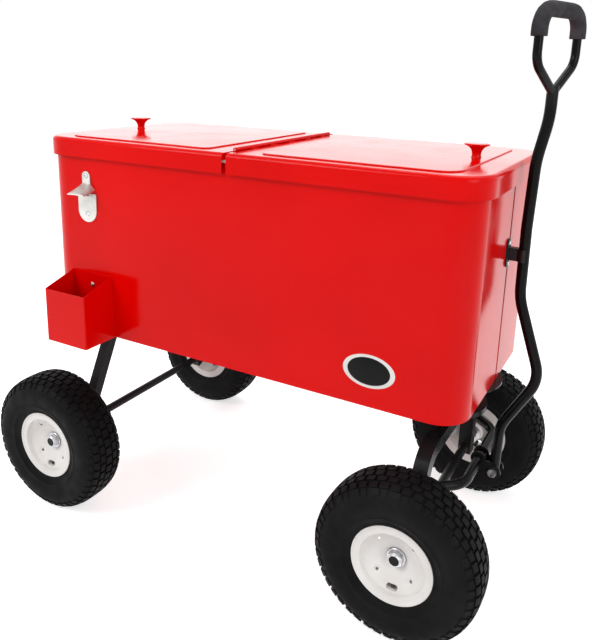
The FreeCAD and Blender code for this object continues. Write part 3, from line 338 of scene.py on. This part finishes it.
def plastic(name, low, high, rough):
    finish = Finish(name, low, rough, Specular_IOR_Level=0.25)
    finish.color(finish.ramp(finish.noise(20.0, 4), low, high))
    finish.roughness(finish.ramp(finish.noise(80.0, 3), rough - 0.06, rough + 0.08))
    finish.bump(finish.noise(650.0, 2), 0.25, 0.25)
    return finish.material


def insulation():
    finish = Finish("foam", (0.80, 0.74, 0.52), 0.9)
    finish.color(finish.ramp(finish.cells(260.0), (0.66, 0.58, 0.36), (0.86, 0.80, 0.60), 0.1, 0.6))
    finish.bump(finish.cells(260.0), 0.6, 0.8)
    return finish.material


FINISHES = {
    "red_enamel": red_enamel(),
    "black_enamel": black_enamel(),
    "white_enamel": white_enamel(),
    "liner_plastic": plastic("liner_plastic", (0.76, 0.77, 0.77), (0.84, 0.85, 0.85), 0.42),
    "foam": insulation(),
    "chrome": chrome(),
    "zinc": zinc(),
    "tyre": rubber("tyre", (0.002, 0.002, 0.002), (0.008, 0.008, 0.009), 0.58, 520.0),
    "seal": rubber("seal", (0.05, 0.05, 0.05), (0.08, 0.08, 0.08), 0.6, 700.0),
    "grip_foam": foam_rubber(),
    "drain_plastic": plastic("drain_plastic", (0.70, 0.70, 0.69), (0.80, 0.80, 0.79), 0.38),
    "clip_plastic": plastic("clip_plastic", (0.005, 0.005, 0.005), (0.010, 0.010, 0.011), 0.36),
    "clip_spring": plastic("clip_spring", (0.004, 0.004, 0.004), (0.009, 0.009, 0.010), 0.3),
}


def dress(piece, slot):
    """Give a piece the one finish that goes with a record slot's name."""
    piece.data.materials.clear()
    piece.data.materials.append(FINISHES[slot])


def finished(piece, slot, body, *nodes):
    """Dress a made piece, let it ride on a body and stand for CAD nodes."""
    dress(piece, slot)
    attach(piece, body)
    if nodes:
        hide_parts(*nodes)
    return piece


SLOTS = {entry["node"]: entry["material_slot"] for entry in frame["record"]["subparts"]}
for node_name, node_object in frame["nodes"].items():
    for slot_index in range(len(node_object.material_slots)):
        node_object.material_slots[slot_index].material = FINISHES[SLOTS[node_name]]


def middle(node_name):
    low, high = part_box(node_name)
    return (Vector(low) + Vector(high)) / 2


# ---- wheels ---------------------------------------------------------------------------------

WHEELS = ("front_near", "front_far", "rear_near", "rear_far")
TREAD_STEPS = 184
PITCH_STEPS = 4
TREAD_RISE = 3.6
# Blocks across the crown: (inner edge, outer edge) from the centre plane, in millimetres.
TREAD_ROWS = ((0.0, 6.5), (9.5, 19.5), (22.5, 31.5))


def tyre_outline():
    """Half of the tyre's section from bead to crown, then its mirror image."""
    half = [
        (51.3, 24.0), (51.3, 32.0), (64.2, 32.6), (65.6, 34.6), (67.2, 35.0), (68.6, 34.4), (76.0, 38.4),
        (78.0, 39.8), (80.0, 39.3), (88.0, 41.4), (96.0, 42.2), (103.0, 42.1), (109.0, 40.7), (114.0, 38.2),
        (118.6, 35.0), (121.6, 31.5), (123.9, 27.0), (124.9, 22.5), (125.6, 19.5), (126.0, 14.5),
        (126.3, 9.5), (126.4, 6.5), (126.4, 2.5),
    ]
    return half + [(radius, -height) for radius, height in reversed(half)]


def tread_block(step, height):
    """Whether a crown face belongs to a raised block; neighbouring rows are half a pitch apart."""
    for row, (inner, outer) in enumerate(TREAD_ROWS):
        if inner <= abs(height) <= outer:
            side = 0 if row == 0 or height > 0 else 1
            shift = (row * PITCH_STEPS // 2 + side) % PITCH_STEPS
            return (step + shift) % PITCH_STEPS != 0
    return False


def shoulder_block(step, radius, height):
    """Long blocks over the shoulder, every second pitch joined to a short one."""
    if not 112.0 < radius < 120.5 or abs(height) < 33.0:
        return False
    shift = 1 if height > 0 else 3
    return (step + shift) % (2 * PITCH_STEPS) not in (0, 1, 4)


def make_tyre():
    centre = middle("front_near_tyre")
    tyre = lathe("front_near_treaded_tyre", centre, -Y, tyre_outline(), TREAD_STEPS)

    def place_of(point):
        arm = point - centre
        step = math.atan2(arm.z, arm.x) / math.tau * TREAD_STEPS
        return int(step % TREAD_STEPS), math.hypot(arm.x, arm.z) / MM, -arm.y / MM

    def on_crown(point, normal):
        step, radius, height = place_of(point)
        return radius > 120.5 and tread_block(step, height)

    def on_shoulder(point, normal):
        step, radius, height = place_of(point)
        return shoulder_block(step, radius, height)

    start_edit(tyre)
    for test, rise in ((on_crown, TREAD_RISE), (on_shoulder, 1.9)):
        select_faces(tyre, test)
        bpy.ops.mesh.extrude_region_shrink_fatten(TRANSFORM_OT_shrink_fatten={
            "value": rise * MM, "use_even_offset": False})
    end_edit()
    round_edges(tyre, 0.5, 1, 50)
    smooth(tyre, 40)
    return tyre


RIM_DISH = [
    (49.0, -34.2), (63.6, -34.2), (64.0, -33.4), (63.4, -32.4), (51.0, -32.3), (50.6, -31.0), (50.6, 31.0),
    (51.0, 32.4), (63.4, 32.4), (64.0, 33.4), (63.4, 34.25), (61.4, 34.0), (58.6, 32.0), (54.8, 28.6),
    (50.4, 25.2), (45.0, 22.0), (38.0, 18.6), (31.0, 15.8), (24.0, 13.2), (19.0, 11.4), (15.6, 9.6),
    (13.4, 8.2), (13.0, 6.2), (15.4, 7.4), (24.0, 11.4), (38.0, 16.8), (47.0, 21.0), (49.0, 22.8), (49.0, -34.2),
]
DIMPLE_RADIUS = 34.0
SLOT_RADIUS = 44.5


def dish_height(radius):
    """The rim dish's outer surface at a radius, in millimetres from the wheel's centre plane."""
    face = [point for point in RIM_DISH[10:22]]
    for (r_out, z_out), (r_in, z_in) in zip(face, face[1:]):
        if r_in <= radius <= r_out:
            return z_in + (z_out - z_in) * (radius - r_in) / (r_out - r_in)
    return face[-1][1]


def wheel_spot(centre, radius, angle, height):
    turn = math.radians(angle)
    return centre + X * (radius * MM * math.cos(turn)) + Z * (radius * MM * math.sin(turn)) - Y * (height * MM)


def make_rim():
    """Dished rim with four pressed dimples round the hub and a valve slot."""
    centre = middle("front_near_tyre")
    rim = lathe("front_near_dished_rim", centre, -Y, RIM_DISH, 128)
    for angle in (45, 135, 225, 315):
        spot = wheel_spot(centre, DIMPLE_RADIUS, angle, dish_height(DIMPLE_RADIUS) + 9.0)
        bpy.ops.object.select_all(action="DESELECT")
        bpy.ops.mesh.primitive_uv_sphere_add(segments=32, ring_count=16, radius=10.3 * MM, location=spot)
        tool = active()
        settle(tool)
        cut_with(rim, tool)
    level = dish_height(SLOT_RADIUS)
    ends = [cylinder("slot_end", wheel_spot(centre, SLOT_RADIUS, 270 + turn, level), Y, 4.2, 14)
            for turn in (-6, 6)]
    low = wheel_spot(centre, SLOT_RADIUS - 4.2, 270, level + 7) - X * (4.6 * MM)
    high = wheel_spot(centre, SLOT_RADIUS + 4.2, 270, level - 7) + X * (4.6 * MM)
    bar = block("slot_bar", [min(a, b) for a, b in zip(low, high)], [max(a, b) for a, b in zip(low, high)])
    for tool in ends + [bar]:
        cut_with(rim, tool)
    round_edges(rim, 0.35, 1, 50)
    smooth(rim, 30)
    return rim


def make_valve():
    """Rubber valve stem with its cap, seen through the slot."""
    centre = middle("front_near_tyre")
    base = wheel_spot(centre, SLOT_RADIUS, 270, 0)
    valve = lathe("front_near_valve", base, -Y, [
        (0.01, 3.0), (3.6, 3.0), (3.4, 8.0), (2.6, 11.0), (2.6, 14.0), (3.1, 14.2), (3.1, 19.0), (2.6, 20.0),
        (0.01, 20.2)], 24)
    smooth(valve, 40)
    return valve


def make_hub_end():
    """Hub neck with a shallow ring round the bore."""
    centre = middle("front_near_tyre")
    hub = lathe("front_near_hub_neck", centre, -Y, [
        (8.05, -28.0), (15.0, -28.0), (16.5, -27.0), (19.0, -25.0), (19.0, 4.6), (18.4, 5.0), (12.7, 5.0),
        (12.7, 9.2), (12.2, 9.9), (9.4, 10.0), (8.05, 9.4), (8.05, -28.0)], 64)
    smooth(hub, 35)
    return hub


WHEEL_PIECES = (
    ("treaded_tyre", make_tyre, "tyre", "tyre"),
    ("dished_rim", make_rim, "white_enamel", "rim"),
    ("valve", make_valve, "seal", None),
    ("hub_neck", make_hub_end, "white_enamel", "hub"),
)
first_centre = middle("front_near_tyre")
for suffix, make, slot, stands_for in WHEEL_PIECES:
    pattern = make()
    copies = [copy_piece(pattern, "%s_%s" % (wheel, suffix)) for wheel in WHEELS[1:]]
    for wheel, piece in zip(WHEELS, [pattern] + copies):
        shift = middle(wheel + "_tyre")
        if wheel != WHEELS[0]:
            far = wheel.endswith("far")
            half_turn = Matrix.Rotation(math.pi if far else 0.0, 4, "Z")
            piece.matrix_world = Matrix.Translation(shift) @ half_turn @ Matrix.Translation(-first_centre)
            settle(piece)
        nodes = [wheel + "_" + stands_for] if stands_for else []
        finished(piece, slot, wheel + "_wheel", *nodes)

# ---- axle nuts ------------------------------------------------------------------------------


def axle_nut(name, hub_node, outward):
    """Washer, chamfered hex nut and a hollow stub end."""
    centre = middle(hub_node.replace("hub", "tyre"))
    washer = lathe(name + "_washer", centre, outward, [
        (8.02, 10.35), (14.4, 10.35), (14.9, 10.8), (14.9, 11.8), (14.4, 12.25), (8.02, 12.25), (8.02, 10.35)], 48)
    nut = cylinder(name + "_hex", centre + outward * (15.8 * MM), outward, 12.8, 6.9, 6)
    round_edges(nut, 0.7, 2, 30)
    collar = lathe(name + "_collar", centre, outward, [
        (8.02, 18.6), (9.9, 18.6), (9.9, 20.0), (9.2, 21.0), (8.02, 21.1), (8.02, 18.6)], 48)
    inner = lathe(name + "_inner_washer", centre, outward, [
        (8.02, -28.35), (14.9, -28.35), (14.9, -30.25), (8.02, -30.25), (8.02, -28.35)], 48)
    bore = cylinder(name + "_bore", centre + outward * (15.8 * MM), outward, 8.02, 9, 48)
    cut_with(nut, bore)
    return [washer, nut, collar, inner]


for end, body in (("front", "steering"), ("rear", "cooler")):
    solids = axle_nut("near_nut", end + "_near_hub", -Y) + axle_nut("far_nut", end + "_far_hub", Y)
    nuts = join(end + "_axle_hardware", solids)
    smooth(nuts, 30)
    finished(nuts, "zinc", body, end + "_axle_nuts")

# ---- bottle opener --------------------------------------------------------------------------

opener_low, opener_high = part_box("bottle_opener")
opener_x = (opener_low[0] + opener_high[0]) / 2
wall_y = opener_high[1]
opener_top = opener_high[2]


def opener_spot(x, out, down):
    """A point on the opener: along the wall, out from the wall and down from its top, in millimetres."""
    return Vector((opener_x + x * MM, wall_y - out * MM, opener_top - down * MM))


def make_opener():
    """Cast opener: screw tab, a hood that slopes out between two wings, and a rounded tongue below."""
    half = 20.8
    reach = 29.0
    bpy.ops.object.select_all(action="DESELECT")
    bpy.ops.mesh.primitive_grid_add(x_subdivisions=16, y_subdivisions=10, size=2)
    hood = active()
    hood.name = "opener_hood"
    settle(hood)
    for point in hood.data.vertices:
        wing = abs(point.co.x)
        out = (1 - point.co.y) / 2
        shoulder = 21.0 + 11.0 * max(0.0, (wing - 0.42) / 0.58)
        lip = 38.6 + 0.8 * wing ** 3
        point.co = opener_spot(half * point.co.x * (1 - 0.03 * out), 1.2 + reach * out,
                               shoulder + (lip - shoulder) * out)
    apply_modifier(hood, "SOLIDIFY", thickness=2.4 * MM, offset=-1.0)
    clean(hood)
    round_edges(hood, 0.8, 3, 45)
    tongue = cylinder("opener_tongue", opener_spot(0, 1.1, 71.8), Y, 21.8, 2.2, 64)
    plate = block("opener_plate", opener_spot(-21.8, 2.0, 71.8), opener_spot(21.8, 0.1, 40.5))
    tooth = block("opener_tooth", opener_spot(-9, 10.5, 45.5), opener_spot(9, 1.0, 42.5))
    tab = cylinder("opener_tab", opener_spot(0, 1.4, 10.0), Y, 9.4, 2.8, 48)
    neck = block("opener_neck", opener_spot(-9.3, 2.6, 28.0), opener_spot(9.3, 0.1, 10.0))
    for part in (tongue, plate, tooth, tab, neck):
        round_edges(part, 0.5, 2)
    opener = join("cast_opener", [hood, tongue, plate, tooth, tab, neck])
    smooth(opener, 40)
    return opener


finished(make_opener(), "chrome", "cooler", "bottle_opener")


# ---- screws ---------------------------------------------------------------------------------

def pan_screw(name, seat, outward, head=4.8):
    """Domed screw head with a cross recess, its flat face on the seat."""
    body = lathe(name, seat, outward, [
        (0.01, -3.0), (2.4, -3.0), (2.4, 0.0), (head, 0.0), (head, 0.7), (head * 0.86, 1.7), (head * 0.5, 2.4),
        (0.01, 2.55)], 32)
    side = across(outward)
    other = outward.cross(side)
    for arm in (side, other):
        rest = outward.cross(arm)
        corners = [seat + outward * (2.7 * MM) + arm * (head * 0.55 * MM) + rest * (0.5 * MM),
                   seat + outward * (1.3 * MM) - arm * (head * 0.55 * MM) - rest * (0.5 * MM)]
        low = [min(pair) for pair in zip(*corners)]
        high = [max(pair) for pair in zip(*corners)]
        cut_with(body, block("recess", low, high))
    smooth(body, 30)
    return body


opener_screws = join("opener_screw_heads", [
    pan_screw("screw", opener_spot(0, 3.0, 9.0), -Y), pan_screw("screw", opener_spot(0, 2.2, 78.0), -Y)])
finished(opener_screws, "zinc", "cooler", "opener_screws")
catcher_screw_low, catcher_screw_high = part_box("catcher_screw")
catcher_seat = Vector(((catcher_screw_low[0] + catcher_screw_high[0]) / 2, catcher_screw_low[1] + 2.6 * MM,
                       (catcher_screw_low[2] + catcher_screw_high[2]) / 2))
finished(pan_screw("catcher_screw_head", catcher_seat, -Y), "zinc", "cooler", "catcher_screw")
clip_low, clip_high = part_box("clip_screws")
clip_x = clip_high[0] - 2.6 * MM
clip_seats = [Vector((clip_x, 0, clip_low[2] + 4.4 * MM)), Vector((clip_x, 0, clip_high[2] - 4.4 * MM))]
clip_screws = join("clip_screw_heads", [pan_screw("screw", seat, X, 4.3) for seat in clip_seats])
finished(clip_screws, "zinc", "cooler", "clip_screws")


# ---- lid knobs ------------------------------------------------------------------------------

def make_knob(name, node_name):
    low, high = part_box(node_name)
    base = Vector(((low[0] + high[0]) / 2, (low[1] + high[1]) / 2, low[2]))
    knob = lathe(name, base, Z, [
        (0.01, 0.0), (8.0, 0.0), (7.9, 0.8), (7.2, 2.0), (7.0, 4.0), (7.2, 7.0), (8.0, 10.0), (9.6, 13.0),
        (12.0, 15.6), (15.2, 17.6), (18.4, 18.9), (19.7, 19.6), (20.0, 20.3), (19.7, 21.1), (18.8, 21.6),
        (14.0, 21.9), (0.01, 22.0)], 64)
    smooth(knob, 30)
    return knob


for side in ("right", "left"):
    knob_node = side + "_lid_knob"
    finished(make_knob(side + "_turned_knob", knob_node), "red_enamel", side + "_lid", knob_node)


# ---- foam grip ------------------------------------------------------------------------------

def make_grip():
    """Foam sleeve bent with the loop: a disc drawn up one arm, round the crown and down the other."""
    grip_low, grip_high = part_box("foam_grip")
    twist = math.radians(17.5)
    along = Vector((math.sin(twist), math.cos(twist), 0))
    turn_axis = Z.cross(along)
    crown = grip_high[2] - 11.5 * MM
    half, bend, creases = 57.5 * MM, 28.0 * MM, 9
    foot = Vector(((grip_low[0] + grip_high[0]) / 2, (grip_low[1] + grip_high[1]) / 2, grip_low[2]))
    rise = crown - bend - grip_low[2]
    run = 2 * (half - bend)
    bpy.ops.object.select_all(action="DESELECT")
    bpy.ops.mesh.primitive_circle_add(vertices=32, radius=11.4 * MM, fill_type="NGON",
                                      location=foot - along * half)
    grip = active()
    grip.name = "foam_sleeve"
    settle(grip)
    bpy.ops.object.mode_set(mode="EDIT")
    bpy.ops.mesh.select_mode(type="FACE")
    bpy.ops.mesh.select_all(action="SELECT")
    bpy.ops.mesh.extrude_region_move(TRANSFORM_OT_translate={"value": Z * rise})
    for side, direction, length in ((-1, along, run), (1, -Z, rise)):
        centre = foot + along * (side * (half - bend))
        centre.z = crown - bend
        bpy.ops.mesh.spin(steps=creases, angle=-math.pi / 2, center=centre, axis=turn_axis)
        for step in range(creases):
            bpy.ops.mesh.extrude_region_move(TRANSFORM_OT_translate={"value": direction * (length / creases)})
    end_edit()
    clean(grip)
    middle_of_loop = foot.copy()
    middle_of_loop.z = crown - bend
    for point in grip.data.vertices:
        arm = (point.co - middle_of_loop).dot(along)
        depth = max(0.0, (half - bend * 1.4 - abs(arm)) / -bend) * max(0.0, point.co.z - crown + bend) / bend
        point.co += (middle_of_loop - point.co).normalized() * (0.25 * MM * depth * math.sin(900 * point.co.z))
    round_edges(grip, 0.8, 2, 60)
    smooth(grip, 50)
    return grip


finished(make_grip(), "grip_foam", "handle", "foam_grip")

# ---- badge and end seam ---------------------------------------------------------------------

shell_low, shell_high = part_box("outer_shell")
BADGE_X, BADGE_Z = 258 * MM, 395 * MM


def oval(name, half_wide, half_tall, low, high):
    """A thin oval plate on the front wall, between two stand-offs in millimetres."""
    spot = Vector((BADGE_X, shell_low[1] - (low + high) / 2 * MM, BADGE_Z))
    plate = cylinder(name, spot, Y, 10, high - low, 96)
    for point in plate.data.vertices:
        point.co.x = BADGE_X + (point.co.x - BADGE_X) * half_wide / 10
        point.co.z = BADGE_Z + (point.co.z - BADGE_Z) * half_tall / 10
    round_edges(plate, 0.12, 2)
    smooth(plate, 30)
    return plate


finished(oval("badge_border", 42, 26.5, 0.0, 0.45), "white_enamel", "cooler")
finished(oval("badge_field", 34.5, 22, 0.3, 0.6), "black_enamel", "cooler")

seam = block("end_seam", (shell_high[0] - 0.1 * MM, 9 * MM, shell_low[2] + 0.4 * MM),
             (shell_high[0] + 0.8 * MM, 16 * MM, shell_high[2] - 20 * MM))
round_edges(seam, 0.5, 2)
finished(seam, "red_enamel", "cooler")

# ---- studio ---------------------------------------------------------------------------------


def shown_to_camera(tree):
    """Strength 1 for camera, mirror and glass rays, 0 for the rest."""
    path = tree.nodes.new("ShaderNodeLightPath")
    total = path.outputs["Is Camera Ray"]
    for name in ("Is Glossy Ray", "Is Transmission Ray"):
        add = tree.nodes.new("ShaderNodeMath")
        add.operation = "MAXIMUM"
        tree.links.new(total, add.inputs[0])
        tree.links.new(path.outputs[name], add.inputs[1])
        total = add.outputs["Value"]
    return total


def make_world():
    world = bpy.data.worlds.new("studio")
    bpy.context.scene.world = world
    world.use_nodes = True
    tree = world.node_tree
    background = tree.nodes["Background"]
    background.inputs["Color"].default_value = (1, 1, 1, 1)
    level = tree.nodes.new("ShaderNodeMapRange")
    level.inputs["To Min"].default_value = 0.55
    level.inputs["To Max"].default_value = 1.0
    tree.links.new(shown_to_camera(tree), level.inputs["Value"])
    tree.links.new(level.outputs["Result"], background.inputs["Strength"])


def make_floor():
    bpy.ops.object.select_all(action="DESELECT")
    bpy.ops.mesh.primitive_plane_add(size=16, location=(0, 0, -0.0005))
    floor = active()
    floor.name = "studio_floor"
    material = bpy.data.materials.new("studio_floor")
    material.use_nodes = True
    tree = material.node_tree
    shader = tree.nodes["Principled BSDF"]
    shader.inputs["Base Color"].default_value = (0.86, 0.86, 0.86, 1)
    shader.inputs["Roughness"].default_value = 0.8
    shader.inputs["Specular IOR Level"].default_value = 0.1
    shader.inputs["Emission Color"].default_value = (1, 1, 1, 1)
    level = tree.nodes.new("ShaderNodeMath")
    level.operation = "MULTIPLY"
    level.inputs[1].default_value = 0.62
    tree.links.new(shown_to_camera(tree), level.inputs[0])
    tree.links.new(level.outputs["Value"], shader.inputs["Emission Strength"])
    floor.data.materials.append(material)


def softbox(name, place, target, size, power):
    lamp = bpy.data.lights.new(name, "AREA")
    lamp.shape = "RECTANGLE"
    lamp.size, lamp.size_y = size
    lamp.energy = power
    holder = bpy.data.objects.new(name, lamp)
    bpy.context.collection.objects.link(holder)
    holder.location = place
    aim = Vector(target) - Vector(place)
    holder.rotation_euler = aim.to_track_quat("-Z", "Y").to_euler()


CAMERA_PLACE = (0.6167, -1.0909, 0.8400)
CAMERA_YAW, CAMERA_PITCH, CAMERA_ROLL = 29.437, 14.18, 1.3345


def make_camera():
    camera = bpy.data.cameras.new("camera")
    camera.lens = 39.147
    camera.sensor_width = 36
    camera.shift_x = 0.0168
    camera.shift_y = -0.1289
    holder = bpy.data.objects.new("camera", camera)
    bpy.context.collection.objects.link(holder)
    aim = Euler((math.radians(90 - CAMERA_PITCH), 0, math.radians(CAMERA_YAW))).to_matrix()
    turn = aim @ Matrix.Rotation(math.radians(CAMERA_ROLL), 3, "Z")
    holder.matrix_world = Matrix.Translation(CAMERA_PLACE) @ turn.to_4x4()
    bpy.context.scene.camera = holder


make_world()
make_floor()
softbox("key", (-1.6, -2.4, 2.6), (0, 0, 0.45), (1.6, 1.6), 55)
softbox("fill", (2.6, -1.2, 1.6), (0.2, 0, 0.45), (1.4, 2.0), 26)
softbox("top", (0.2, 0.9, 2.8), (0, 0, 0.6), (2.2, 1.4), 26)
softbox("back", (-1.9, 3.0, 1.35), (0, 0, 0.7), (4.6, 1.1), 13)
make_camera()
bpy.context.scene.view_settings.view_transform = "Standard"
